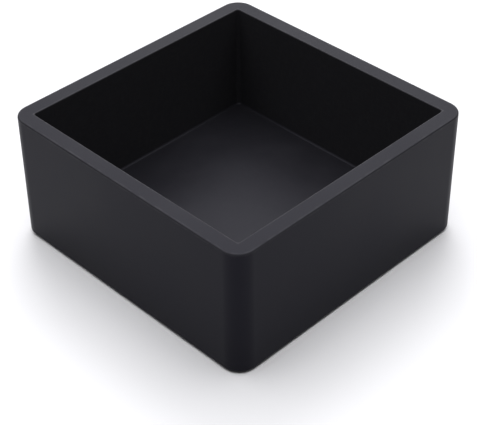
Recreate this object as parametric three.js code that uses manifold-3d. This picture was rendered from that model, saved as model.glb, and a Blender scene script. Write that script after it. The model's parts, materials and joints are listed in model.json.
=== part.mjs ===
// A square paper clip holder: one double-walled plastic moulding, a base plate that clicks into its
// open underside, and four rubber feet. Millimetres, +Z up. The origin lies on the desk, under the
// middle of the tray, and the walls run along X and Y.
import * as THREE from "three";
import { mergeVertices } from "three/addons/utils/BufferGeometryUtils.js";
import Module from "manifold-3d";

const wasm = await Module();
wasm.setup();

// Outside of the tray moulding
const rimWidth = 85; // outer side of the square, at the rim
const wallHeight = 37.6; // bottom edge of the wall to the rim
const rimThickness = 4.6; // flat rim, outer face to inner face
const cornerRadius = 5.3; // upright outer corners, at the rim
const outerDraft = 0.2; // each wall stands this much further out at its bottom edge
const rimOuterRound = 0.4;
const wallBottomRound = 0.4;

// Cavity
const floorHeight = 5; // top of the floor above the wall's bottom edge
const innerDraft = 0.3; // each side of the cavity lies this much further in at the floor
const innerCornerRadius = 0.7; // upright inner corners, nearly sharp
const rimInnerRound = 0.3;
const floorCove = 0.8; // rounding where the floor meets the walls

// Skins and ribs of the moulding, all moulded in one piece
const outerSkin = 1.3;
const innerSkin = 1.3;
const rimSkin = 1.6; // plastic above the hollow of the wall
const floorSkin = 1.6;
const hollowRootRound = 0.4; // rounding of the hollow's narrow end under the rim
const ribThickness = 1;
const ribsEachWay = 4;
const ribPitch = 18;
const ribDrop = 9; // ribs in the wall end this far below the rim

// Base plate
const plateThickness = 1.6;
const plateInset = 0.35; // underside of the plate above the wall's bottom edge
const plateSideGap = 0.15; // plate to outer skin
const plateRibGap = 0.1; // plate to the ribs that it lies against
const plateEdgeRound = 0.3;

// Snap lugs on the plate's edges, in pockets of the outer skin
const lugsPerSide = 2;
const lugPitch = 40;
const lugLength = 9;
const lugReach = 0.6; // out from the plate's edge
const lugHeight = 0.8;
const lugRaise = 0.5; // underside of the lug above the plate's underside
const lugNose = 0.25; // upright tip of the lug, below its lead-in slope
const lugClearance = 0.15; // lug to pocket, all round

// Rubber feet, glued into round seats of the plate
const footDiameter = 10;
const footThickness = 1.6;
const footTaper = 0.25; // the foot is this much smaller in radius where it stands
const footEdgeRound = 0.35;
const footInset = 12; // foot's centre to the rim's outer face
const seatDepth = 0.7;
const seatSideGap = 0.2;
const glueFilm = 0.15;

// Facets
const cornerSteps = 9;
const roundSteps = 4;
const footSteps = 36;
const weldDistance = 0.0001; // points closer than this are one point

// Heights above the desk
const seatTop = footThickness + glueFilm;
const plateBottom = seatTop - seatDepth;
const plateTop = plateBottom + plateThickness;
const ribBottom = plateTop + plateRibGap;
const wallBottom = plateBottom - plateInset;
const rimTop = wallBottom + wallHeight;
const floorTop = wallBottom + floorHeight;
const floorUnder = floorTop - floorSkin;
const hollowTop = rimTop - rimSkin;
const ribTop = rimTop - ribDrop;
const lugBottom = plateBottom + lugRaise;

// Distances from the middle: the faces at the rim, and the centres of the feet both ways
const rimHalf = rimWidth / 2;
const cavityHalf = rimHalf - rimThickness;
const footPlace = rimHalf - footInset;

// Half widths at a height, on the drafted faces and on the hollow between the two skins

function outerFace(height) {
  return rimHalf + (outerDraft * (rimTop - height)) / wallHeight;
}

function cavityFace(height) {
  return cavityHalf - (innerDraft * (rimTop - height)) / (rimTop - floorTop);
}

function hollowOuter(height) {
  return outerFace(height) - outerSkin;
}

function hollowInner(height) {
  return cavityFace(height) + innerSkin;
}

const plateHalf = hollowOuter(plateTop) - plateSideGap;

// Bodies that follow the square

const quarterTurn = Math.PI / 2;

// The walls' corners share their centres as far in as the inner corners' own radius allows.
function cornerAt(half) {
  return Math.max(cornerRadius + half - rimHalf, innerCornerRadius);
}

// A square with rounded corners, as a closed shape in plan.
function squarePlan(half) {
  const radius = cornerAt(half);
  const centre = half - radius;
  const plan = new THREE.Shape();
  plan.absarc(centre, centre, radius, 0, quarterTurn);
  plan.absarc(-centre, centre, radius, quarterTurn, 2 * quarterTurn);
  plan.absarc(-centre, -centre, radius, 2 * quarterTurn, 3 * quarterTurn);
  plan.absarc(centre, -centre, radius, 3 * quarterTurn, 4 * quarterTurn);
  return plan;
}

// One ring of corner points at a height, counter-clockwise seen from above.
function squareRing(half, height) {
  const arcs = squarePlan(half).curves.filter((curve) => curve.isEllipseCurve);
  return arcs.flatMap((arc) =>
    arc.getPoints(cornerSteps).map((point) => new THREE.Vector3(point.x, point.y, height)),
  );
}

// A closed body from a section of [half width, height] points, taken round the square as a lathe
// takes one round a circle. The section starts with the flat underside and ends with the flat top.
function squareLathe(section) {
  const rings = section.map(([half, height]) => squareRing(half, height));
  const count = rings[0].length;
  const faces = [];
  for (let ring = 0; ring + 1 < rings.length; ring += 1) {
    for (let i = 0; i < count; i += 1) {
      const here = ring * count + i;
      const beside = ring * count + ((i + 1) % count);
      faces.push(here, beside, beside + count);
      faces.push(here, beside + count, here + count);
    }
  }
  const top = (rings.length - 1) * count;
  for (let i = 1; i + 1 < count; i += 1) {
    faces.push(0, i + 1, i);
    faces.push(top, top + i, top + i + 1);
  }
  const geometry = new THREE.BufferGeometry().setFromPoints(rings.flat());
  geometry.setIndex(faces);
  return geometry;
}

// Section points of a quarter round about a centre, from one quarter to the next.
function quarterRound(half, height, radius, fromQuarter, toQuarter) {
  const arc = new THREE.EllipseCurve(
    half,
    height,
    radius,
    radius,
    fromQuarter * quarterTurn,
    toQuarter * quarterTurn,
    toQuarter < fromQuarter,
  );
  return arc.getPoints(roundSteps).map((point) => point.toArray());
}

// Joining and cutting

function solidOf(geometry) {
  const bare = geometry.clone();
  bare.deleteAttribute("normal");
  bare.deleteAttribute("uv");
  const merged = mergeVertices(bare, weldDistance);
  const mesh = new wasm.Mesh({
    numProp: 3,
    vertProperties: merged.attributes.position.array,
    triVerts: new Uint32Array(merged.index.array),
  });
  return new wasm.Manifold(mesh);
}

function geometryOf(solid) {
  const mesh = solid.getMesh();
  const geometry = new THREE.BufferGeometry();
  geometry.setAttribute("position", new THREE.BufferAttribute(mesh.vertProperties, 3));
  geometry.setIndex(new THREE.BufferAttribute(mesh.triVerts, 1));
  geometry.computeVertexNormals();
  return geometry;
}

function evenPlaces(count, pitch) {
  return Array.from({ length: count }, (_, i) => (i - (count - 1) / 2) * pitch);
}

// A section drawn in X and height, given a thickness along Y about a place.
function slab(points, thickness, place) {
  const shape = new THREE.Shape(points.map(([x, z]) => new THREE.Vector2(x, z)));
  const geometry = new THREE.ExtrudeGeometry(shape, { depth: thickness, bevelEnabled: false });
  return geometry.rotateX(quarterTurn).translate(0, place + thickness / 2, 0);
}

function turned(geometry, quarters) {
  return geometry.clone().rotateZ(quarters * quarterTurn);
}

// Tray moulding

function traySection() {
  const baseOuter = outerFace(wallBottom);
  const rootHeight = hollowTop - hollowRootRound;
  const coveHeight = floorTop + floorCove;
  return [
    [hollowInner(floorUnder), floorUnder],
    ...quarterRound(hollowInner(hollowTop) + hollowRootRound, rootHeight, hollowRootRound, 2, 1),
    ...quarterRound(hollowOuter(hollowTop) - hollowRootRound, rootHeight, hollowRootRound, 1, 0),
    [hollowOuter(wallBottom), wallBottom],
    ...quarterRound(baseOuter - wallBottomRound, wallBottom + wallBottomRound, wallBottomRound, 3, 4),
    ...quarterRound(rimHalf - rimOuterRound, rimTop - rimOuterRound, rimOuterRound, 0, 1),
    ...quarterRound(cavityHalf + rimInnerRound, rimTop - rimInnerRound, rimInnerRound, 1, 2),
    ...quarterRound(cavityFace(floorTop) - floorCove, coveHeight, floorCove, 4, 3),
  ];
}

// One rib runs under the floor from wall to wall, and up both walls inside their hollow.
function ribSection() {
  const out = hollowOuter(ribTop) + outerSkin / 2;
  const arm = hollowInner(ribTop) - innerSkin / 2;
  const underFloor = floorUnder + floorSkin / 2;
  return [
    [-out, ribBottom],
    [out, ribBottom],
    [out, ribTop],
    [arm, ribTop],
    [arm, underFloor],
    [-arm, underFloor],
    [-arm, ribTop],
    [-out, ribTop],
  ];
}

function pocketSection() {
  const out = plateHalf + lugReach + lugClearance;
  const low = lugBottom - lugClearance;
  const high = lugBottom + lugHeight + lugClearance;
  const inside = plateHalf - lugReach;
  return [
    [inside, low],
    [out, low],
    [out, high],
    [inside, high],
  ];
}

function trayMoulding() {
  let solid = solidOf(squareLathe(traySection()));
  for (const place of evenPlaces(ribsEachWay, ribPitch)) {
    const rib = slab(ribSection(), ribThickness, place);
    solid = solid.add(solidOf(rib)).add(solidOf(turned(rib, 1)));
  }
  for (const place of evenPlaces(lugsPerSide, lugPitch)) {
    const pocket = slab(pocketSection(), lugLength + 2 * lugClearance, place);
    for (const quarters of [0, 1, 2, 3]) {
      solid = solid.subtract(solidOf(turned(pocket, quarters)));
    }
  }
  return geometryOf(solid);
}

// Base plate

function plateSection() {
  const edge = plateHalf - plateEdgeRound;
  return [
    ...quarterRound(edge, plateBottom + plateEdgeRound, plateEdgeRound, 3, 4),
    [plateHalf, plateTop],
  ];
}

// The lug is flat below, where it holds, and sloped above, where it was pushed in.
function lugSection() {
  const root = plateHalf - lugReach;
  const tip = plateHalf + lugReach;
  return [
    [root, lugBottom],
    [tip, lugBottom],
    [tip, lugBottom + lugNose],
    [plateHalf, lugBottom + lugHeight],
    [root, lugBottom + lugHeight],
  ];
}

function footSeat(x, y) {
  const radius = footDiameter / 2 + seatSideGap;
  const open = plateBottom - seatDepth; // the cutter starts clear below the plate
  const height = seatTop - open;
  const cutter = new THREE.CylinderGeometry(radius, radius, height, footSteps);
  return cutter.rotateX(quarterTurn).translate(x, y, open + height / 2);
}

function basePlate() {
  let solid = solidOf(squareLathe(plateSection()));
  for (const place of evenPlaces(lugsPerSide, lugPitch)) {
    const lug = slab(lugSection(), lugLength, place);
    for (const quarters of [0, 1, 2, 3]) {
      solid = solid.add(solidOf(turned(lug, quarters)));
    }
  }
  for (const [x, y] of Object.values(footPlaces)) {
    solid = solid.subtract(solidOf(footSeat(x, y)));
  }
  return geometryOf(solid);
}

// Feet

const footPlaces = {
  foot_front_left: [-footPlace, -footPlace],
  foot_front_right: [footPlace, -footPlace],
  foot_rear_left: [-footPlace, footPlace],
  foot_rear_right: [footPlace, footPlace],
};

// Flat above and below, with a slight cone between, and a rounded edge where it stands.
function foot() {
  const radius = footDiameter / 2;
  const standing = radius - footTaper - footEdgeRound;
  const section = [
    [0, 0],
    ...quarterRound(standing, footEdgeRound, footEdgeRound, 3, 4),
    [radius, footThickness],
    [0, footThickness],
  ];
  const points = section.map(([across, height]) => new THREE.Vector2(across, height));
  return new THREE.LatheGeometry(points, footSteps).rotateX(quarterTurn);
}

// Assembly

function plastic(color, roughness) {
  return new THREE.MeshStandardMaterial({ color, roughness, metalness: 0 });
}

function piece(name, geometry, material) {
  const mesh = new THREE.Mesh(geometry, material);
  mesh.name = name;
  return mesh;
}

const tray = new THREE.Group();
tray.add(piece("tray_moulding", trayMoulding(), plastic(0x28272c, 0.62)));
tray.add(piece("base_plate", basePlate(), plastic(0x1d1d20, 0.7)));
for (const [name, [x, y]] of Object.entries(footPlaces)) {
  const mesh = piece(name, foot(), plastic(0x141415, 0.9));
  mesh.position.set(x, y, 0);
  tray.add(mesh);
}

export default tray;
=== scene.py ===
"""A square soft-touch paper clip holder, modelled round its packed construction.

Laid out as an add-on: the settings, one operator for each piece or group of like pieces, one for
the stage, and a panel that lists them. Run as a script, it builds everything in order.
All sizes are in metres.
"""

import json
import math

import bmesh
import bpy
from bpy.props import FloatProperty, FloatVectorProperty, IntProperty, PointerProperty
from mathutils import Matrix, Vector


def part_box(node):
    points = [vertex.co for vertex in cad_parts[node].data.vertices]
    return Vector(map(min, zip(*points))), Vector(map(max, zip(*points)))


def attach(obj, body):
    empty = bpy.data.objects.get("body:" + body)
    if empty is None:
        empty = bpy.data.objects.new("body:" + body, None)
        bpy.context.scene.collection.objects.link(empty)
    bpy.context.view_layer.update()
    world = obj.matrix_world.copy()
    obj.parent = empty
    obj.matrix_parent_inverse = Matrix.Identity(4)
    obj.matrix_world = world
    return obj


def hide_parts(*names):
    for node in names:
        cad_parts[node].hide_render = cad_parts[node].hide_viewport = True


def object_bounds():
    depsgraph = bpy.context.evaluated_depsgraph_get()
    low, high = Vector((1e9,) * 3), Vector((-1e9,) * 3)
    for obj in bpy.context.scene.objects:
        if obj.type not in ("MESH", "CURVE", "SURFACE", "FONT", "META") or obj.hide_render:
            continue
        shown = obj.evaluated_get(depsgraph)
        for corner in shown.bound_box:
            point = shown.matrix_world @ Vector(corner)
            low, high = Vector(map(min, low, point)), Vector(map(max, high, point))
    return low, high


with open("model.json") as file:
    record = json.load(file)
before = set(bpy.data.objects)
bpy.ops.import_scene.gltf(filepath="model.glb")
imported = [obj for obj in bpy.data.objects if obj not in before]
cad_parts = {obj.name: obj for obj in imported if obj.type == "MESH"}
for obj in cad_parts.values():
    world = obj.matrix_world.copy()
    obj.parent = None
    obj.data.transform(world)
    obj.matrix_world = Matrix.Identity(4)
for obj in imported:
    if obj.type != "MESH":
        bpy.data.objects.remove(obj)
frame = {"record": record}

bl_info = {
    "name": "Clip Tray Maker",
    "version": (1, 0, 0),
    "blender": (4, 5, 0),
    "location": "3D View > Sidebar > Clip Tray",
    "description": "Models a square paper clip holder, with its finishes and studio stage",
    "category": "Object",
}

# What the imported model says

BODY = "root"
CAD_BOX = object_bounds()
TRAY_LOW, TRAY_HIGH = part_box("tray_moulding")
PLATE_LOW, PLATE_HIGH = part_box("base_plate")
FEET = ("foot_front_left", "foot_front_right", "foot_rear_left", "foot_rear_right")
FLOOR_TOP = next(
    mount["pos_m"][2] for mount in frame["record"]["mounts"] if mount["name"] == "cavity_floor"
)

# Ribs of the tray moulding

RIBS_EACH_WAY = 4
RIB_THICKNESS = 0.001
RIB_PLATE_GAP = 0.0001  # from the base plate up to the ribs
RIB_DROP = 0.009  # from the rim down to the ribs inside the wall

# Snap lugs on the edges of the base plate, in pockets of the outer skin

LUGS_A_SIDE = 2
LUG_PITCH = 0.04
LUG_LENGTH = 0.009
LUG_REACH = 0.0006  # out from the plate's edge, and as far in for its root
LUG_HEIGHT = 0.0008
LUG_RAISE = 0.0005  # from the plate's underside up to the lug
LUG_SLOPE = 0.00052  # width of the lead-in slope along the lug's upper outer edge
LUG_CLEARANCE = 0.00015  # lug to pocket, all round

# Base plate and feet

PLATE_EDGE = PLATE_HIGH.x - LUG_REACH  # the plate's box reaches to the tips of its lugs
PLATE_SIDE_GAP = 0.00015  # plate to outer skin
PLATE_LOWER_ROUND = 0.0003
PLATE_UPPER_ROUND = 0.0001
SEAT_SIDE_GAP = 0.0002
SEAT_FACES = 96
GLUE_FILM = 0.00015  # above each foot, in its seat
FOOT_TAPER = 0.00025  # the foot is this much smaller in radius where it stands
FOOT_LOWER_ROUND = 0.00035
FOOT_UPPER_ROUND = 0.0001
FOOT_FACES = 72

# Modelling

QUARTER = math.pi / 2
NEAR = 1e-5  # two places closer than this are the same place
WELD = 1e-6  # points closer than this are joined
FACING = 0.9  # a normal's share along an axis, past which its face looks that way
SMOOTH_ANGLE = math.radians(40)  # faces that meet at less than this are shaded as one
LEVEL_LIFT = 0.001  # how far apart two outlines at one height are bridged


# Settings


class TrayShapeSettings(bpy.types.PropertyGroup):
    """Sizes of the tray that its outer box doesn't give."""

    rim_thickness: FloatProperty(
        name="Rim thickness",
        description="Width of the flat rim, from the outer face to the inner face",
        default=0.0046,
        min=0.0035,
        unit="LENGTH",
        precision=5,
    )
    corner_radius: FloatProperty(
        name="Corner radius",
        description="Radius of the upright outer corners at the rim",
        default=0.0053,
        min=0.001,
        unit="LENGTH",
        precision=5,
    )
    inner_corner_radius: FloatProperty(
        name="Inner corner radius",
        description="Radius of the upright inner corners at the rim",
        default=0.0007,
        min=0.0002,
        unit="LENGTH",
        precision=5,
    )
    floor_corner_radius: FloatProperty(
        name="Floor corner radius",
        description="Radius that the inner corners grow to at the floor",
        default=0.0015,
        min=0.001,
        unit="LENGTH",
        precision=5,
    )
    outer_draft: FloatProperty(
        name="Outer draft",
        description="How much further out each wall stands at its bottom edge",
        default=0.0002,
        min=0.0,
        unit="LENGTH",
        precision=5,
    )
    inner_draft: FloatProperty(
        name="Inner draft",
        description="How much further in each side of the cavity lies at the floor",
        default=0.0003,
        min=0.0,
        unit="LENGTH",
        precision=5,
    )
    skin: FloatProperty(
        name="Skin",
        description="Thickness of the two skins that make the hollow wall",
        default=0.0013,
        min=0.0008,
        unit="LENGTH",
        precision=5,
    )
    floor_skin: FloatProperty(
        name="Floor skin",
        description="Thickness of the floor, and of the rim above the hollow",
        default=0.0016,
        min=0.0008,
        unit="LENGTH",
        precision=5,
    )
    rim_outer_round: FloatProperty(
        name="Rim outer round",
        description="Rounding of the rim's outer edge",
        default=0.0004,
        min=0.0001,
        unit="LENGTH",
        precision=5,
    )
    rim_inner_round: FloatProperty(
        name="Rim inner round",
        description="Rounding of the rim's inner edge",
        default=0.0003,
        min=0.0001,
        unit="LENGTH",
        precision=5,
    )
    bottom_round: FloatProperty(
        name="Bottom round",
        description="Rounding under the wall and at the root of its hollow",
        default=0.0004,
        min=0.0001,
        unit="LENGTH",
        precision=5,
    )
    floor_cove: FloatProperty(
        name="Floor cove",
        description="Rounding where the floor meets the walls",
        default=0.0008,
        min=0.0001,
        unit="LENGTH",
        precision=5,
    )
    rib_pitch: FloatProperty(
        name="Rib pitch",
        description="Distance between the ribs under the floor and in the wall",
        default=0.018,
        min=0.006,
        unit="LENGTH",
        precision=5,
    )
    corner_steps: IntProperty(
        name="Corner steps",
        description="Faces round each upright corner",
        default=16,
        min=4,
        max=48,
    )


class TrayFinishSettings(bpy.types.PropertyGroup):
    """Colours and surface texture of the tray's materials."""

    shell_colour: FloatVectorProperty(
        name="Shell colour",
        description="Soft-touch charcoal black of the tray",
        default=(0.0066, 0.0065, 0.0098),
        min=0.0,
        max=1.0,
        subtype="COLOR",
    )
    # Painted bounce light: inside the cavity this lighter tone stands in for light thrown onto the
    # walls; at the rim's edges it is wear.
    scuffed_colour: FloatVectorProperty(
        name="Painted light and wear colour",
        # Greyer tone of the film: painted bounce light inside the tray, and wear at the rim
        description="Greyer tone of the film where use rubs it, inside the tray and at the rim",
        default=(0.037, 0.0365, 0.040),
        min=0.0,
        max=1.0,
        subtype="COLOR",
    )
    dust_colour: FloatVectorProperty(
        name="Dust colour",
        description="Pale grey of the dust that settles on the tray",
        default=(0.30, 0.29, 0.28),
        min=0.0,
        max=1.0,
        subtype="COLOR",
    )
    plate_colour: FloatVectorProperty(
        name="Base plate colour",
        description="Uncoated black plastic of the base plate",
        default=(0.012, 0.012, 0.0135),
        min=0.0,
        max=1.0,
        subtype="COLOR",
    )
    rubber_colour: FloatVectorProperty(
        name="Rubber colour",
        description="Dull black rubber of the feet",
        default=(0.0085, 0.0085, 0.009),
        min=0.0,
        max=1.0,
        subtype="COLOR",
    )
    shell_roughness: FloatProperty(
        name="Shell roughness",
        description="How dull the soft-touch film is",
        default=0.42,
        min=0.0,
        max=1.0,
        subtype="FACTOR",
    )
    shell_reflection: FloatProperty(
        name="Shell reflection",
        description="Strength of the film's mirror part, where 0.5 is plain glossy plastic",
        default=0.076,
        min=0.0,
        max=1.0,
        subtype="FACTOR",
    )
    reflection_tint: FloatVectorProperty(
        name="Reflection tint",
        description="Faint cool tint of the film's mirror part",
        default=(1.0, 0.99, 1.18),
        min=0.0,
        subtype="COLOR",
    )
    grain_size: FloatProperty(
        name="Grain size",
        description="Size of the fine texture that the mould leaves",
        default=0.00016,
        min=0.00005,
        unit="LENGTH",
        precision=6,
    )


class TrayStageSettings(bpy.types.PropertyGroup):
    """The camera, the floor and the studio light."""

    camera_aim: FloatVectorProperty(
        name="Camera aim",
        description="Point that the camera looks at",
        default=(0.0107, -0.0106, 0.0167),
        subtype="TRANSLATION",
        unit="LENGTH",
        precision=4,
    )
    camera_distance: FloatProperty(
        name="Camera distance",
        description="From the camera to the point that it looks at",
        default=0.3595,
        unit="LENGTH",
        precision=4,
    )
    camera_azimuth: FloatProperty(
        name="Camera azimuth",
        description="Direction that the camera looks from, round the upright axis",
        default=math.radians(45.37),
        subtype="ANGLE",
    )
    camera_elevation: FloatProperty(
        name="Camera elevation",
        description="Height of the camera above the horizon, as an angle",
        default=math.radians(38.46),
        subtype="ANGLE",
    )
    camera_roll: FloatProperty(
        name="Camera roll",
        description="Turn of the camera about its own line of sight",
        default=math.radians(-0.69),
        subtype="ANGLE",
    )
    camera_lens: FloatProperty(
        name="Lens",
        description="Focal length in millimetres, on a sensor 36 mm wide",
        default=102.7,
        min=10.0,
    )
    floor_colour: FloatVectorProperty(
        name="Floor colour",
        description="Colour of the studio floor",
        default=(0.93, 0.93, 0.935),
        min=0.0,
        max=1.0,
        subtype="COLOR",
    )
    light_colour: FloatVectorProperty(
        name="Light colour",
        description="Slightly cool white of both softboxes",
        default=(1.0, 0.998, 1.022),
        min=0.0,
        subtype="COLOR",
    )
    overhead_turn: FloatProperty(
        name="Overhead turn",
        description="How far the overhead softbox stands to the left of straight behind the tray",
        default=math.radians(16),
        subtype="ANGLE",
    )
    overhead_elevation: FloatProperty(
        name="Overhead elevation",
        description="Height of the overhead softbox above the horizon, as an angle",
        default=math.radians(82),
        subtype="ANGLE",
    )
    overhead_spread: FloatProperty(
        name="Overhead spread",
        description="Width of the overhead softbox, as the tray sees it",
        default=math.radians(76),
        subtype="ANGLE",
    )
    overhead_strength: FloatProperty(
        name="Overhead strength",
        description="Strength of the wide softbox that hangs over the tray, a little behind it",
        default=3.2,
        min=0.0,
    )
    back_elevation: FloatProperty(
        name="Back elevation",
        description="Height of the back softbox above the horizon, as an angle",
        default=math.radians(38),
        subtype="ANGLE",
    )
    back_spread: FloatProperty(
        name="Back spread",
        description="Width of the back softbox, as the tray sees it",
        default=math.radians(36),
        subtype="ANGLE",
    )
    back_strength: FloatProperty(
        name="Back strength",
        description="Strength of the softbox low behind the tray, which lights the rim",
        default=1.05,
        min=0.0,
    )
    fill_strength: FloatProperty(
        name="Fill strength",
        description="Strength of the even light that the white room throws back",
        default=0.07,
        min=0.0,
    )


# Working on a mesh as by hand


def start_piece(name, adder, **placing):
    """Adds a primitive as the only selected object, and opens it for editing."""
    bpy.ops.object.select_all(action="DESELECT")
    adder(**placing)
    piece = bpy.context.object
    piece.name = name
    piece.data.name = name
    bpy.ops.object.mode_set(mode="EDIT")
    return piece


def end_piece():
    """Welds the piece, turns its faces outwards, and puts its origin at the frame's."""
    bpy.ops.mesh.select_all(action="SELECT")
    bpy.ops.mesh.remove_doubles(threshold=WELD)
    bpy.ops.mesh.normals_make_consistent(inside=False)
    bpy.ops.object.mode_set(mode="OBJECT")
    bpy.ops.object.transform_apply(location=True, rotation=True, scale=True)


def select_edges(test, keep=False):
    """Selects the edges of the open mesh whose two ends both pass the test."""
    if not keep:
        bpy.ops.mesh.select_all(action="DESELECT")
    bpy.ops.mesh.select_mode(type="EDGE")
    piece = bpy.context.object
    edited = bmesh.from_edit_mesh(piece.data)
    for edge in edited.edges:
        if all(test(piece.matrix_world @ vert.co) for vert in edge.verts):
            edge.select_set(True)
    edited.select_flush_mode()
    bmesh.update_edit_mesh(piece.data)


def select_faces(test):
    """Selects the faces of the open mesh whose centre and normal pass the test."""
    bpy.ops.mesh.select_all(action="DESELECT")
    bpy.ops.mesh.select_mode(type="FACE")
    piece = bpy.context.object
    edited = bmesh.from_edit_mesh(piece.data)
    for face in edited.faces:
        if test(piece.matrix_world @ face.calc_center_median(), face.normal):
            face.select_set(True)
    edited.select_flush_mode()
    bmesh.update_edit_mesh(piece.data)


def apply_modifier(piece, kind, **values):
    """Adds one modifier with its values and applies it."""
    bpy.context.view_layer.objects.active = piece
    bpy.ops.object.modifier_add(type=kind)
    modifier = piece.modifiers[-1]
    for name, value in values.items():
        setattr(modifier, name, value)
    bpy.ops.object.modifier_apply(modifier=modifier.name)


def combine(piece, tool, operation):
    """Joins the tool's solid to the piece, or cuts it away, and removes the tool."""
    apply_modifier(piece, "BOOLEAN", object=tool, operation=operation, solver="EXACT")
    bpy.data.objects.remove(tool)


def copy_placed(source, placing):
    """A copy of the object with its own mesh, moved or turned by the matrix."""
    twin = source.copy()
    twin.data = source.data.copy()
    bpy.context.scene.collection.objects.link(twin)
    twin.data.transform(placing)
    return twin


def quarter_turns(count):
    """A turn about the upright axis of the tray."""
    return Matrix.Rotation(count * QUARTER, 4, "Z")


def combine_on_all_sides(piece, tool, operation):
    """Joins the tool's solid to the piece on each side of the square, or cuts it away there."""
    for count in range(4):
        combine(piece, copy_placed(tool, quarter_turns(count)), operation)
    bpy.data.objects.remove(tool)


def smooth_faces(piece):
    """Smooth rounds and flat flats: shading follows the large faces."""
    bpy.ops.object.select_all(action="DESELECT")
    piece.select_set(True)
    bpy.context.view_layer.objects.active = piece
    bpy.ops.object.shade_smooth_by_angle(angle=SMOOTH_ANGLE)
    apply_modifier(piece, "WEIGHTED_NORMAL", keep_sharp=True, weight=100)


# Places and directions


def evenly(count, pitch):
    """Places of a row of things about the middle."""
    return [(index - (count - 1) / 2) * pitch for index in range(count)]


def direction(azimuth, elevation):
    """The way to an azimuth, counted from the front towards the right, and an elevation."""
    return Vector(
        (
            math.sin(azimuth) * math.cos(elevation),
            -math.cos(azimuth) * math.cos(elevation),
            math.sin(elevation),
        )
    )


# Square outlines with rounded corners


class Outline:
    """A square with rounded corners, level at one height."""

    def __init__(self, half, radius, height):
        self.half = half
        self.radius = radius
        self.height = height

    def holds(self, place):
        """True where a point lies on this outline."""
        straight = self.half - self.radius
        beyond_x = abs(place.x) - straight
        beyond_y = abs(place.y) - straight
        outside = math.hypot(max(beyond_x, 0), max(beyond_y, 0))
        distance = outside + min(max(beyond_x, beyond_y), 0) - self.radius
        return abs(distance) < NEAR and abs(place.z - self.height) < NEAR

    def at(self, height):
        """The same outline at another height."""
        return Outline(self.half, self.radius, height)

    def add(self, steps):
        """Adds the outline to the open mesh, as a ring of edges."""
        bpy.ops.mesh.select_all(action="DESELECT")
        bpy.ops.mesh.primitive_plane_add(size=2 * self.half, location=(0, 0, self.height))
        self.round_corners(steps)

    def round_corners(self, steps):
        """Rounds the corners of the selected square and opens its face."""
        bpy.ops.mesh.bevel(
            offset=self.radius, offset_type="OFFSET", segments=steps, affect="VERTICES"
        )
        bpy.ops.mesh.delete(type="ONLY_FACE")


def loft(name, outlines, steps):
    """Opens a closed piece that passes through the outlines in order, flat at both ends.

    Two outlines at one height are bridged a little apart, and then brought level.
    """
    first = outlines[0]
    piece = start_piece(
        name, bpy.ops.mesh.primitive_plane_add, size=2 * first.half, location=(0, 0, first.height)
    )
    first.round_corners(steps)
    for before, after in zip(outlines, outlines[1:]):
        is_level = abs(after.height - before.height) < NEAR
        lift = LEVEL_LIFT if is_level else 0
        raised = after.at(after.height + lift)
        raised.add(steps)
        select_edges(before.holds)
        select_edges(raised.holds, keep=True)
        bpy.ops.mesh.bridge_edge_loops()
        select_edges(raised.holds)
        bpy.ops.transform.translate(value=(0, 0, -lift))
    for end in (outlines[0], outlines[-1]):
        select_edges(end.holds)
        bpy.ops.mesh.edge_face_add()
    return piece


def round_edge(outline, radius, steps):
    """Rounds the edge that runs along an outline of the open mesh."""
    select_edges(outline.holds)
    bpy.ops.mesh.bevel(offset=radius, offset_type="OFFSET", segments=steps, affect="EDGES")


# Nodes


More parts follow.
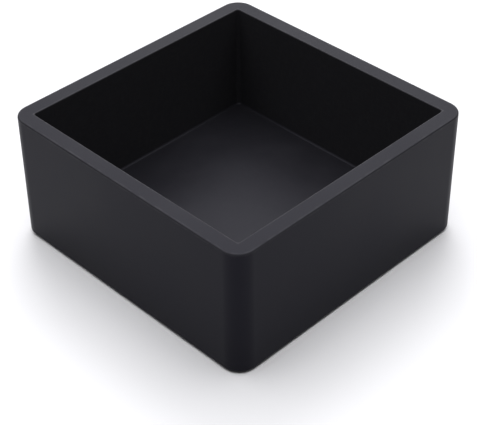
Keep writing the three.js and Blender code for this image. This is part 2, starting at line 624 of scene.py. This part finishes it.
class NodeDesk:
    """Places nodes in one tree, in rows from left to right, and joins them."""

    NODES_A_ROW = 8
    STEP_ACROSS = 200
    STEP_DOWN = 300

    def __init__(self, tree):
        self.tree = tree
        self.count = 0

    def add(self, kind, **settings):
        """A new node with its own settings."""
        row, column = divmod(self.count, self.NODES_A_ROW)
        node = self.tree.nodes.new(kind)
        node.location = (column * self.STEP_ACROSS, -row * self.STEP_DOWN)
        self.count += 1
        for name, value in settings.items():
            setattr(node, name, value)
        return node

    def join(self, source, target):
        """Links an output to an input."""
        self.tree.links.new(source, target)

    def feed(self, target, value):
        """Gives an input a link from an output, or a plain value."""
        if isinstance(value, bpy.types.NodeSocket):
            self.join(value, target)
        else:
            target.default_value = value

    def math(self, operation, first, second=0.0, third=0.0, clamp=False):
        """One step of arithmetic on outputs or numbers."""
        node = self.add("ShaderNodeMath", operation=operation, use_clamp=clamp)
        for target, value in zip(node.inputs, (first, second, third)):
            self.feed(target, value)
        return node.outputs[0]

    def between(self, share, low, high):
        """A number that goes from low to high as the share goes from 0 to 1."""
        return self.math("MULTIPLY_ADD", share, high - low, low)

    def hypotenuse(self, first, second):
        """The long side of a right triangle, from the two short ones."""
        squares = (self.math("POWER", first, 2.0), self.math("POWER", second, 2.0))
        return self.math("SQRT", self.math("ADD", *squares))

    def stretch(self, vector, factors):
        """A vector multiplied along each axis by its own factor."""
        node = self.add("ShaderNodeVectorMath", operation="MULTIPLY")
        self.feed(node.inputs[0], vector)
        self.feed(node.inputs[1], factors)
        return node.outputs["Vector"]

    def split(self, vector):
        """The outputs X, Y and Z of a vector."""
        node = self.add("ShaderNodeSeparateXYZ")
        self.join(vector, node.inputs[0])
        return node.outputs

    def noise(self, vector, scale, detail, roughness=0.5):
        """Noise from 0 to 1 at so many waves a metre."""
        node = self.add("ShaderNodeTexNoise", noise_dimensions="3D")
        self.feed(node.inputs["Vector"], vector)
        self.feed(node.inputs["Scale"], scale)
        node.inputs["Detail"].default_value = detail
        node.inputs["Roughness"].default_value = roughness
        return node.outputs["Fac"]

    def specks(self, vector, scale):
        """The distance to the nearest of many scattered points, so many to a metre."""
        node = self.add("ShaderNodeTexVoronoi", feature="F1")
        self.join(vector, node.inputs["Vector"])
        node.inputs["Scale"].default_value = scale
        return node.outputs["Distance"]

    def ramp(self, value, low, high, to_low=0.0, to_high=1.0):
        """Value eased from one range to another, and kept inside it."""
        node = self.add("ShaderNodeMapRange", interpolation_type="SMOOTHSTEP", clamp=True)
        for name, number in (
            ("Value", value),
            ("From Min", low),
            ("From Max", high),
            ("To Min", to_low),
            ("To Max", to_high),
        ):
            self.feed(node.inputs[name], number)
        return node.outputs["Result"]

    def mix_colour(self, share, first, second):
        """Two colours mixed by a share."""
        node = self.add("ShaderNodeMix", data_type="RGBA", blend_type="MIX")
        # A Mix node names its sockets alike for each kind of data: 6, 7 and 2 are the colours.
        self.feed(node.inputs["Factor"], share)
        self.feed(node.inputs[6], first)
        self.feed(node.inputs[7], second)
        return node.outputs[2]


def start_effect(name, numbers, results):
    """An empty node group of a vector and numbers, the desk to build it on, and both its ends."""
    group = bpy.data.node_groups.new(name, "ShaderNodeTree")
    group.interface.new_socket(name="Vector", in_out="INPUT", socket_type="NodeSocketVector")
    for number, default in numbers.items():
        socket = group.interface.new_socket(
            name=number, in_out="INPUT", socket_type="NodeSocketFloat"
        )
        socket.default_value = default
    for result in results:
        group.interface.new_socket(name=result, in_out="OUTPUT", socket_type="NodeSocketFloat")
    desk = NodeDesk(group)
    given = desk.add("NodeGroupInput").outputs
    ends = desk.add("NodeGroupOutput").inputs
    return group, desk, given, ends


def place_effect(desk, effect, place, **numbers):
    """Puts a shared effect in a material with its own numbers, and gives its outputs.

    An effect's node group has the name of its function, and is built when it is first placed.
    """
    node = desk.add("ShaderNodeGroup")
    node.node_tree = bpy.data.node_groups.get(effect.__name__) or effect()
    desk.join(place, node.inputs["Vector"])
    for name, number in numbers.items():
        node.inputs[name.replace("_", " ")].default_value = number
    return node.outputs


# Effects that the materials share


def moulded_grain():
    """The fine texture that a spark-eroded mould leaves, and the slow change of tone over it."""
    group, desk, given, ends = start_effect(
        "moulded_grain", {"Grain Size": 0.00016, "Mottle Size": 0.018}, ("Height", "Mottle")
    )
    coarseness = 0.37  # waves of the coarse grain for each wave of the fine one
    coarse_depth = 0.45
    grain_scale = desk.math("DIVIDE", 1.0, given["Grain Size"])
    coarse_scale = desk.math("MULTIPLY", grain_scale, coarseness)
    mottle_scale = desk.math("DIVIDE", 1.0, given["Mottle Size"])
    fine = desk.noise(given["Vector"], grain_scale, detail=2.0, roughness=0.6)
    coarse = desk.noise(given["Vector"], coarse_scale, detail=1.0)
    mottle = desk.noise(given["Vector"], mottle_scale, detail=3.0, roughness=0.55)
    desk.join(desk.math("MULTIPLY_ADD", coarse, coarse_depth, fine), ends["Height"])
    desk.join(desk.ramp(mottle, low=0.32, high=0.68), ends["Mottle"])
    return group


def edge_polish():
    """A mask along one level edge of a rounded square, worn by hands, broken up by noise."""
    group, desk, given, ends = start_effect(
        "edge_polish",
        {"Half Width": 0.04, "Corner Radius": 0.005, "Edge Height": 0.038, "Reach": 0.0006},
        ("Mask",),
    )
    breaks_a_metre = 420.0
    place = desk.split(given["Vector"])
    straight = desk.math("SUBTRACT", given["Half Width"], given["Corner Radius"])
    beyond_x = desk.math("SUBTRACT", desk.math("ABSOLUTE", place["X"]), straight)
    beyond_y = desk.math("SUBTRACT", desk.math("ABSOLUTE", place["Y"]), straight)
    outside = desk.hypotenuse(
        desk.math("MAXIMUM", beyond_x, 0.0), desk.math("MAXIMUM", beyond_y, 0.0)
    )
    inside = desk.math("MINIMUM", desk.math("MAXIMUM", beyond_x, beyond_y), 0.0)
    off_line = desk.math("SUBTRACT", desk.math("ADD", outside, inside), given["Corner Radius"])
    off_height = desk.math("SUBTRACT", place["Z"], given["Edge Height"])
    distance = desk.hypotenuse(off_line, off_height)
    broken = desk.noise(given["Vector"], breaks_a_metre, detail=3.0, roughness=0.6)
    uneven = desk.ramp(broken, low=0.3, high=0.75, to_low=0.55, to_high=1.25)
    reach = desk.math("MULTIPLY", given["Reach"], uneven)
    share = desk.math("DIVIDE", distance, reach)
    desk.join(desk.ramp(share, low=0.25, high=1.0, to_low=1.0, to_high=0.0), ends["Mask"])
    return group


def settled_dust():
    """Sparse fine specks and a thin uneven film of dust on what faces up."""
    group, desk, given, ends = start_effect("settled_dust", {"Amount": 0.5}, ("Mask",))
    specks_a_metre = 520.0
    patches_a_metre = 150.0
    clouds_a_metre = 45.0
    film_share = 0.25
    surface = desk.add("ShaderNodeNewGeometry")
    upward = desk.ramp(desk.split(surface.outputs["Normal"])["Z"], low=0.35, high=0.95)
    nearest = desk.specks(given["Vector"], specks_a_metre)
    speck = desk.ramp(nearest, low=0.05, high=0.12, to_low=1.0, to_high=0.0)
    patchiness = desk.noise(given["Vector"], patches_a_metre, detail=2.0)
    patches = desk.ramp(patchiness, low=0.5, high=0.72)
    clouds = desk.noise(given["Vector"], clouds_a_metre, detail=4.0, roughness=0.65)
    film = desk.ramp(clouds, low=0.35, high=0.8, to_high=film_share)
    lying = desk.math("MULTIPLY", desk.math("MULTIPLY_ADD", speck, patches, film), upward)
    desk.join(desk.math("MULTIPLY", lying, given["Amount"], clamp=True), ends["Mask"])
    return group


def inner_scuffs():
    """Painted bounce light: a mask over the walls of a square cavity in faint streaks, and weaker
    on its floor.
    """
    group, desk, given, ends = start_effect(
        "inner_scuffs",
        {"Half Width": 0.038, "Floor Height": 0.006, "Streak Size": 0.0012, "Floor Share": 0.3},
        ("Mask",),
    )
    level_stretch = (0.35, 0.35, 1.6)
    steep_stretch = (1.3, 1.3, 0.4)
    dimmest_streak = 0.82
    place = desk.split(given["Vector"])
    across = (desk.math("ABSOLUTE", place["X"]), desk.math("ABSOLUTE", place["Y"]))
    past_wall = desk.math("SUBTRACT", desk.math("MAXIMUM", *across), given["Half Width"])
    inside = desk.ramp(past_wall, low=0.0001, high=0.0005, to_low=1.0, to_high=0.0)
    over_floor = desk.math("SUBTRACT", place["Z"], given["Floor Height"])
    not_below = desk.ramp(over_floor, low=-0.0008, high=-0.0002)
    on_floor = desk.ramp(over_floor, low=0.0001, high=0.0012, to_low=given["Floor Share"])
    covered = desk.math("MULTIPLY", inside, desk.math("MULTIPLY", not_below, on_floor))
    streak_scale = desk.math("DIVIDE", 1.0, given["Streak Size"])
    level_streaks = desk.stretch(given["Vector"], level_stretch)
    steep_streaks = desk.stretch(given["Vector"], steep_stretch)
    streaks = desk.math(
        "MAXIMUM",
        desk.noise(level_streaks, streak_scale, detail=3.0, roughness=0.6),
        desk.noise(steep_streaks, streak_scale, detail=3.0, roughness=0.6),
    )
    # The streaks break up the painted bounce light.
    lit_streaks = desk.ramp(streaks, low=0.42, high=0.72, to_low=dimmest_streak)
    desk.join(desk.math("MULTIPLY", covered, lit_streaks, clamp=True), ends["Mask"])
    return group


# Materials


def start_material(name):
    """A material with a Principled shader, and the desk to build it on."""
    material = bpy.data.materials.new(name)
    material.use_nodes = True
    material.node_tree.nodes.clear()
    desk = NodeDesk(material.node_tree)
    coordinates = desk.add("ShaderNodeTexCoord")
    shader = desk.add("ShaderNodeBsdfPrincipled")
    output = desk.add("ShaderNodeOutputMaterial")
    desk.join(shader.outputs["BSDF"], output.inputs["Surface"])
    return material, desk, coordinates.outputs["Object"], shader


def bump(desk, height, depth, shader):
    """Turns a height from 0 to 1 into relief of so many metres."""
    node = desk.add("ShaderNodeBump")
    node.inputs["Strength"].default_value = 1.0
    node.inputs["Distance"].default_value = depth
    desk.join(height, node.inputs["Height"])
    desk.join(node.outputs["Normal"], shader.inputs["Normal"])


def colour_of(values, brightness=1.0):
    """Red, green, blue and alpha from three values."""
    return tuple(value * brightness for value in values) + (1.0,)


def mottled(desk, mottle, colour, darkest, lightest):
    """A colour that drifts between a darker and a lighter tone of itself."""
    return desk.mix_colour(mottle, colour_of(colour, darkest), colour_of(colour, lightest))


def soft_touch_material(shape, finish):
    """Soft-touch charcoal film: dull, worn at the rim's edges, lighter inside with painted bounce
    light, a little dusty.
    """
    rim_half = TRAY_HIGH.x - shape.outer_draft
    cavity_half = rim_half - shape.rim_thickness
    edge_share = 0.5  # how far a worn edge goes towards its greyer tone
    edge_brightness = 0.8  # of that tone, beside the painted bounce light inside
    dust_cover = 0.12  # how far the thickest dust hides the film
    roughness_swing = 0.025  # to either side, as the tone drifts
    polish_drop = -0.10  # in roughness, where hands polish the edges
    dust_rise = 0.25  # in roughness, under dust
    material, desk, place, shader = start_material("soft_touch_black")
    grain = place_effect(
        desk, moulded_grain, place, Grain_Size=finish.grain_size, Mottle_Size=0.022
    )
    outer_edge = place_effect(
        desk,
        edge_polish,
        place,
        Half_Width=rim_half,
        Corner_Radius=shape.corner_radius,
        Edge_Height=TRAY_HIGH.z,
        Reach=0.0009,
    )
    inner_edge = place_effect(
        desk,
        edge_polish,
        place,
        Half_Width=cavity_half,
        Corner_Radius=shape.inner_corner_radius,
        Edge_Height=TRAY_HIGH.z,
        Reach=0.0006,
    )
    # Painted bounce light: the cavity's walls, and more weakly its floor, take the lighter tone in
    # faint streaks.
    painted_inner_light = place_effect(
        desk,
        inner_scuffs,
        place,
        Half_Width=cavity_half,
        Floor_Height=FLOOR_TOP,
        Streak_Size=0.0012,
        Floor_Share=0.3,
    )
    dust = place_effect(desk, settled_dust, place, Amount=0.35)
    polish = desk.math("MAXIMUM", outer_edge["Mask"], inner_edge["Mask"])
    colour = mottled(desk, grain["Mottle"], finish.shell_colour, darkest=0.92, lightest=1.08)
    colour = desk.mix_colour(
        desk.math("MULTIPLY", polish, edge_share),
        colour,
        colour_of(finish.scuffed_colour, edge_brightness),
    )
    # Painted bounce light mixed over the cavity.
    colour = desk.mix_colour(painted_inner_light["Mask"], colour, colour_of(finish.scuffed_colour))
    colour = desk.mix_colour(
        desk.math("MULTIPLY", dust["Mask"], dust_cover), colour, colour_of(finish.dust_colour)
    )
    desk.join(colour, shader.inputs["Base Color"])
    roughness = desk.between(
        grain["Mottle"],
        finish.shell_roughness - roughness_swing,
        finish.shell_roughness + roughness_swing,
    )
    roughness = desk.math("MULTIPLY_ADD", polish, polish_drop, roughness)
    roughness = desk.math("MULTIPLY_ADD", dust["Mask"], dust_rise, roughness, clamp=True)
    desk.join(roughness, shader.inputs["Roughness"])
    shader.inputs["Specular IOR Level"].default_value = finish.shell_reflection
    shader.inputs["Specular Tint"].default_value = colour_of(finish.reflection_tint)
    bump(desk, grain["Height"], depth=0.000012, shader=shader)
    return material


def plain_material(name, colour, tones, roughness, grain_size, mottle_size, grain_depth):
    """An uncoated material with a moulded grain, whose tone and dullness drift slowly over it."""
    material, desk, place, shader = start_material(name)
    grain = place_effect(
        desk, moulded_grain, place, Grain_Size=grain_size, Mottle_Size=mottle_size
    )
    desk.join(mottled(desk, grain["Mottle"], colour, *tones), shader.inputs["Base Color"])
    desk.join(desk.between(grain["Mottle"], *roughness), shader.inputs["Roughness"])
    shader.inputs["Specular IOR Level"].default_value = 0.2
    bump(desk, grain["Height"], grain_depth, shader)
    return material


def moulded_material(finish):
    """Uncoated black plastic as it leaves the mould."""
    return plain_material(
        "moulded_black",
        finish.plate_colour,
        tones=(0.9, 1.12),
        roughness=(0.44, 0.52),
        grain_size=0.00028,
        mottle_size=0.03,
        grain_depth=0.00002,
    )


def rubber_material(finish):
    """Dull rubber, paler in small patches."""
    return plain_material(
        "foot_rubber",
        finish.rubber_colour,
        tones=(0.9, 1.7),
        roughness=(0.76, 0.86),
        grain_size=0.0004,
        mottle_size=0.004,
        grain_depth=0.00003,
    )


def dress(piece, material, slot, *nodes):
    """Gives a finished piece its material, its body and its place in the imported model."""
    piece.data.materials.clear()
    piece.data.materials.append(material)
    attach(piece, BODY)
    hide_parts(*nodes)


# Operators


class CLIPTRAY_OT_tray(bpy.types.Operator):
    """Model the double-walled tray moulding, with its ribs and the pockets of its snap lugs"""

    bl_idname = "clip_tray.make_tray"
    bl_label = "Tray Moulding"

    def execute(self, context):
        shape = context.scene.clip_tray_shape
        finish = context.scene.clip_tray_finish
        outlines = self.outlines(shape)
        piece = loft("soft_touch_tray", list(outlines.values()), shape.corner_steps)
        for edge, radius, steps in (
            ("rim_outer", shape.rim_outer_round, 6),
            ("rim_inner", shape.rim_inner_round, 5),
            ("floor_edge", shape.floor_cove, 6),
            ("wall_foot", shape.bottom_round, 5),
            ("hollow_foot", shape.bottom_round / 3, 3),
            ("hollow_root_inner", shape.bottom_round, 4),
            ("hollow_root_outer", shape.bottom_round, 4),
        ):
            round_edge(outlines[edge], radius, steps)
        end_piece()
        self.add_ribs(piece, shape)
        self.cut_pockets(piece)
        smooth_faces(piece)
        dress(piece, soft_touch_material(shape, finish), "soft_touch_black", "tray_moulding")
        return {"FINISHED"}

    @staticmethod
    def outlines(shape):
        """The main edges of the moulding, from under its floor round the wall to its floor."""
        rim_half = TRAY_HIGH.x - shape.outer_draft
        cavity_half = rim_half - shape.rim_thickness
        floor_half = cavity_half - shape.inner_draft
        floor_under = FLOOR_TOP - shape.floor_skin
        hollow_top = TRAY_HIGH.z - shape.floor_skin
        skin = shape.skin
        outer_radius = shape.corner_radius
        foot_radius = outer_radius + shape.outer_draft
        inner_radius = outer_radius - shape.rim_thickness + skin
        return {
            "under_floor": Outline(floor_half + skin, inner_radius, floor_under),
            "hollow_root_inner": Outline(cavity_half + skin, inner_radius, hollow_top),
            "hollow_root_outer": Outline(rim_half - skin, outer_radius - skin, hollow_top),
            "hollow_foot": Outline(TRAY_HIGH.x - skin, foot_radius - skin, TRAY_LOW.z),
            "wall_foot": Outline(TRAY_HIGH.x, foot_radius, TRAY_LOW.z),
            "rim_outer": Outline(rim_half, outer_radius, TRAY_HIGH.z),
            "rim_inner": Outline(cavity_half, shape.inner_corner_radius, TRAY_HIGH.z),
            "floor_edge": Outline(floor_half, shape.floor_corner_radius, FLOOR_TOP),
        }

    @staticmethod
    def add_ribs(piece, shape):
        """Ribs under the floor both ways, which rise inside the hollow of the wall."""
        # They end in the middle of the outer skin and of the floor, and rise from the middle
        # of the inner skin, so that they join all three.
        reach = TRAY_HIGH.x - shape.outer_draft - shape.skin / 2
        arm = reach - shape.rim_thickness + shape.skin
        low = PLATE_HIGH.z + RIB_PLATE_GAP
        under = FLOOR_TOP - shape.floor_skin / 2
        high = TRAY_HIGH.z - RIB_DROP
        for place in evenly(RIBS_EACH_WAY, shape.rib_pitch):
            rib = start_piece(
                "rib",
                bpy.ops.mesh.primitive_cube_add,
                size=1,
                location=(0, place, (low + under) / 2),
                scale=(2 * reach, RIB_THICKNESS, under - low),
            )
            for cut in (-arm, arm):
                bpy.ops.mesh.select_all(action="SELECT")
                bpy.ops.mesh.bisect(plane_co=(cut, 0, 0), plane_no=(1, 0, 0))
            select_faces(lambda centre, normal: normal.z > FACING and abs(centre.x) > arm)
            bpy.ops.mesh.extrude_region_move(
                TRANSFORM_OT_translate={"value": (0, 0, high - under)}
            )
            end_piece()
            across = copy_placed(rib, quarter_turns(1))
            combine(piece, rib, "UNION")
            combine(piece, across, "UNION")

    @staticmethod
    def cut_pockets(piece):
        """Pockets in the outer skin for the base plate's lugs."""
        low = PLATE_LOW.z + LUG_RAISE - LUG_CLEARANCE
        high = PLATE_LOW.z + LUG_RAISE + LUG_HEIGHT + LUG_CLEARANCE
        depth = 2 * (LUG_REACH + LUG_CLEARANCE)
        for place in evenly(LUGS_A_SIDE, LUG_PITCH):
            pocket = start_piece(
                "pocket",
                bpy.ops.mesh.primitive_cube_add,
                size=1,
                location=(PLATE_EDGE, place, (low + high) / 2),
                scale=(depth, LUG_LENGTH + 2 * LUG_CLEARANCE, high - low),
            )
            end_piece()
            combine_on_all_sides(piece, pocket, "DIFFERENCE")


class CLIPTRAY_OT_base_plate(bpy.types.Operator):
    """Model the base plate with its snap lugs and the round seats of the feet"""

    bl_idname = "clip_tray.make_base_plate"
    bl_label = "Base Plate"

    def execute(self, context):
        shape = context.scene.clip_tray_shape
        finish = context.scene.clip_tray_finish
        radius = shape.corner_radius + shape.outer_draft - shape.skin - PLATE_SIDE_GAP
        under = Outline(PLATE_EDGE, radius, PLATE_LOW.z)
        top = Outline(PLATE_EDGE, radius, PLATE_HIGH.z)
        piece = loft("click_in_base_plate", [under, top], shape.corner_steps)
        round_edge(under, PLATE_LOWER_ROUND, steps=4)
        round_edge(top, PLATE_UPPER_ROUND, steps=2)
        end_piece()
        self.add_lugs(piece)
        self.cut_seats(piece)
        smooth_faces(piece)
        dress(piece, moulded_material(finish), "moulded_black", "base_plate")
        return {"FINISHED"}

    @staticmethod
    def add_lugs(piece):
        """Lugs on each side, flat below and sloped above."""
        low = PLATE_LOW.z + LUG_RAISE
        tip = PLATE_EDGE + LUG_REACH
        for place in evenly(LUGS_A_SIDE, LUG_PITCH):
            lug = start_piece(
                "lug",
                bpy.ops.mesh.primitive_cube_add,
                size=1,
                location=(PLATE_EDGE, place, low + LUG_HEIGHT / 2),
                scale=(2 * LUG_REACH, LUG_LENGTH, LUG_HEIGHT),
            )
            select_edges(lambda point: point.x > tip - NEAR and point.z > low + LUG_HEIGHT - NEAR)
            bpy.ops.mesh.bevel(offset=LUG_SLOPE, segments=1, affect="EDGES")
            end_piece()
            combine_on_all_sides(piece, lug, "UNION")

    @staticmethod
    def cut_seats(piece):
        """A shallow round seat above each foot."""
        for node in FEET:
            low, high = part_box(node)
            top = high.z + GLUE_FILM
            seat = start_piece(
                "seat",
                bpy.ops.mesh.primitive_cylinder_add,
                vertices=SEAT_FACES,
                radius=(high.x - low.x) / 2 + SEAT_SIDE_GAP,
                depth=top - low.z,
                location=((low.x + high.x) / 2, (low.y + high.y) / 2, (low.z + top) / 2),
            )
            end_piece()
            combine(piece, seat, "DIFFERENCE")


class CLIPTRAY_OT_feet(bpy.types.Operator):
    """Model one rubber foot and set a copy in each seat of the base plate"""

    bl_idname = "clip_tray.make_feet"
    bl_label = "Rubber Feet"

    def execute(self, context):
        material = rubber_material(context.scene.clip_tray_finish)
        low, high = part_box(FEET[0])
        centre = (low + high) / 2
        foot = self.first_foot(low, high, centre)
        for node in FEET:
            node_low, node_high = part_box(node)
            move = (node_low + node_high) / 2 - centre
            twin = copy_placed(foot, Matrix.Translation(move))
            twin.name = "rubber_" + node
            twin.data.name = twin.name
            smooth_faces(twin)
            dress(twin, material, "foot_rubber", node)
        bpy.data.objects.remove(foot)
        return {"FINISHED"}

    @staticmethod
    def first_foot(low, high, centre):
        """A slightly conical disc with a rounded standing edge."""
        radius = (high.x - low.x) / 2
        foot = start_piece(
            "rubber_foot",
            bpy.ops.mesh.primitive_cylinder_add,
            vertices=FOOT_FACES,
            radius=radius,
            depth=high.z - low.z,
            location=centre,
        )
        share = (radius - FOOT_TAPER) / radius
        select_faces(lambda place, normal: normal.z < -FACING)
        bpy.ops.transform.resize(value=(share, share, 1), center_override=centre)
        bpy.ops.mesh.bevel(offset=FOOT_LOWER_ROUND, segments=5, affect="EDGES")
        select_edges(lambda point: point.z > high.z - NEAR)
        bpy.ops.mesh.bevel(offset=FOOT_UPPER_ROUND, segments=2, affect="EDGES")
        end_piece()
        return foot


class CLIPTRAY_OT_stage(bpy.types.Operator):
    """Set the pale floor, the soft studio light and the camera"""

    bl_idname = "clip_tray.set_stage"
    bl_label = "Stage"

    def execute(self, context):
        stage = context.scene.clip_tray_stage
        context.scene.view_settings.view_transform = "Standard"
        self.lay_floor(stage)
        self.hang_softbox(
            "overhead_softbox",
            stage.overhead_strength,
            stage.camera_azimuth + stage.overhead_turn,
            stage.overhead_elevation,
            stage.overhead_spread,
            stage.light_colour,
        )
        self.hang_softbox(
            "back_softbox",
            stage.back_strength,
            stage.camera_azimuth,
            stage.back_elevation,
            stage.back_spread,
            stage.light_colour,
        )
        self.light_room(stage)
        self.set_camera(context, stage)
        return {"FINISHED"}

    @staticmethod
    def lay_floor(stage):
        """A wide level floor at the height that the feet stand on."""
        floor = start_piece(
            "studio_floor",
            bpy.ops.mesh.primitive_plane_add,
            size=8,
            location=(0, 0, CAD_BOX[0].z),
        )
        bpy.ops.mesh.subdivide(number_cuts=3)
        end_piece()
        material = bpy.data.materials.new("pale_floor")
        material.use_nodes = True
        shader = material.node_tree.nodes["Principled BSDF"]
        shader.inputs["Base Color"].default_value = colour_of(stage.floor_colour)
        shader.inputs["Roughness"].default_value = 0.9
        shader.inputs["Specular IOR Level"].default_value = 0.0
        floor.data.materials.append(material)

    @staticmethod
    def hang_softbox(name, strength, azimuth, elevation, spread, colour):
        """A soft light that hangs opposite an azimuth, and so shines towards it and down."""
        bpy.ops.object.light_add(type="SUN", location=(0, 0, 1))
        light = bpy.context.object
        light.name = name
        light.data.energy = strength
        light.data.color = colour
        light.data.angle = spread
        light.rotation_mode = "QUATERNION"
        light.rotation_quaternion = direction(azimuth, -elevation).to_track_quat("-Z", "Y")

    @staticmethod
    def light_room(stage):
        """A weak even fill, from a room that the camera and the reflections see as white."""
        world = bpy.data.worlds.new("white_room")
        world.use_nodes = True
        world.node_tree.nodes.clear()
        bpy.context.scene.world = world
        desk = NodeDesk(world.node_tree)
        path = desk.add("ShaderNodeLightPath")
        chosen = desk.add("ShaderNodeMixShader")
        output = desk.add("ShaderNodeOutputWorld")
        for strength, side in ((stage.fill_strength, chosen.inputs[1]), (1.0, chosen.inputs[2])):
            room = desk.add("ShaderNodeBackground")
            room.inputs["Color"].default_value = (1, 1, 1, 1)
            room.inputs["Strength"].default_value = strength
            desk.join(room.outputs[0], side)
        direct = desk.math("ADD", path.outputs["Is Camera Ray"], path.outputs["Is Glossy Ray"])
        seen = desk.math("ADD", direct, path.outputs["Is Transmission Ray"], clamp=True)
        desk.join(seen, chosen.inputs["Fac"])
        desk.join(chosen.outputs[0], output.inputs["Surface"])

    @staticmethod
    def set_camera(context, stage):
        """The camera, by its aim, distance, two angles and roll."""
        back = direction(stage.camera_azimuth, stage.camera_elevation)
        place = Vector(stage.camera_aim) + back * stage.camera_distance
        bpy.ops.object.camera_add(location=place)
        camera = bpy.context.object
        camera.name = "photo_camera"
        level = (-back).to_track_quat("-Z", "Y").to_matrix()
        turn = level @ Matrix.Rotation(stage.camera_roll, 3, "Z")
        camera.rotation_mode = "QUATERNION"
        camera.rotation_quaternion = turn.to_quaternion()
        camera.data.sensor_fit = "HORIZONTAL"
        camera.data.sensor_width = 36
        camera.data.lens = stage.camera_lens
        camera.data.clip_start = 0.01
        camera.data.clip_end = 50
        context.scene.camera = camera


class CLIPTRAY_PT_maker(bpy.types.Panel):
    """Lists the settings and the steps that build the tray"""

    bl_idname = "CLIPTRAY_PT_maker"
    bl_label = "Clip Tray Maker"
    bl_space_type = "VIEW_3D"
    bl_region_type = "UI"
    bl_category = "Clip Tray"

    def draw(self, context):
        layout = self.layout
        for group in SETTINGS:
            settings = getattr(context.scene, group)
            box = layout.box()
            for name in settings.bl_rna.properties.keys():
                if name not in ("rna_type", "name"):
                    box.prop(settings, name)
        for step in STEPS:
            layout.operator(step.bl_idname)


STEPS = (CLIPTRAY_OT_stage, CLIPTRAY_OT_tray, CLIPTRAY_OT_base_plate, CLIPTRAY_OT_feet)
SETTINGS = {
    "clip_tray_shape": TrayShapeSettings,
    "clip_tray_finish": TrayFinishSettings,
    "clip_tray_stage": TrayStageSettings,
}


def register():
    """Makes the settings, operators and panel known."""
    for name, kind in SETTINGS.items():
        bpy.utils.register_class(kind)
        setattr(bpy.types.Scene, name, PointerProperty(type=kind))
    for kind in (*STEPS, CLIPTRAY_PT_maker):
        bpy.utils.register_class(kind)


def unregister():
    """Takes them away again."""
    for kind in (CLIPTRAY_PT_maker, *reversed(STEPS)):
        bpy.utils.unregister_class(kind)
    for name, kind in SETTINGS.items():
        delattr(bpy.types.Scene, name)
        bpy.utils.unregister_class(kind)


def main():
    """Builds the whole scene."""
    register()
    bpy.ops.clip_tray.set_stage()
    bpy.ops.clip_tray.make_tray()
    bpy.ops.clip_tray.make_base_plate()
    bpy.ops.clip_tray.make_feet()


if __name__ == "__main__":
    main()
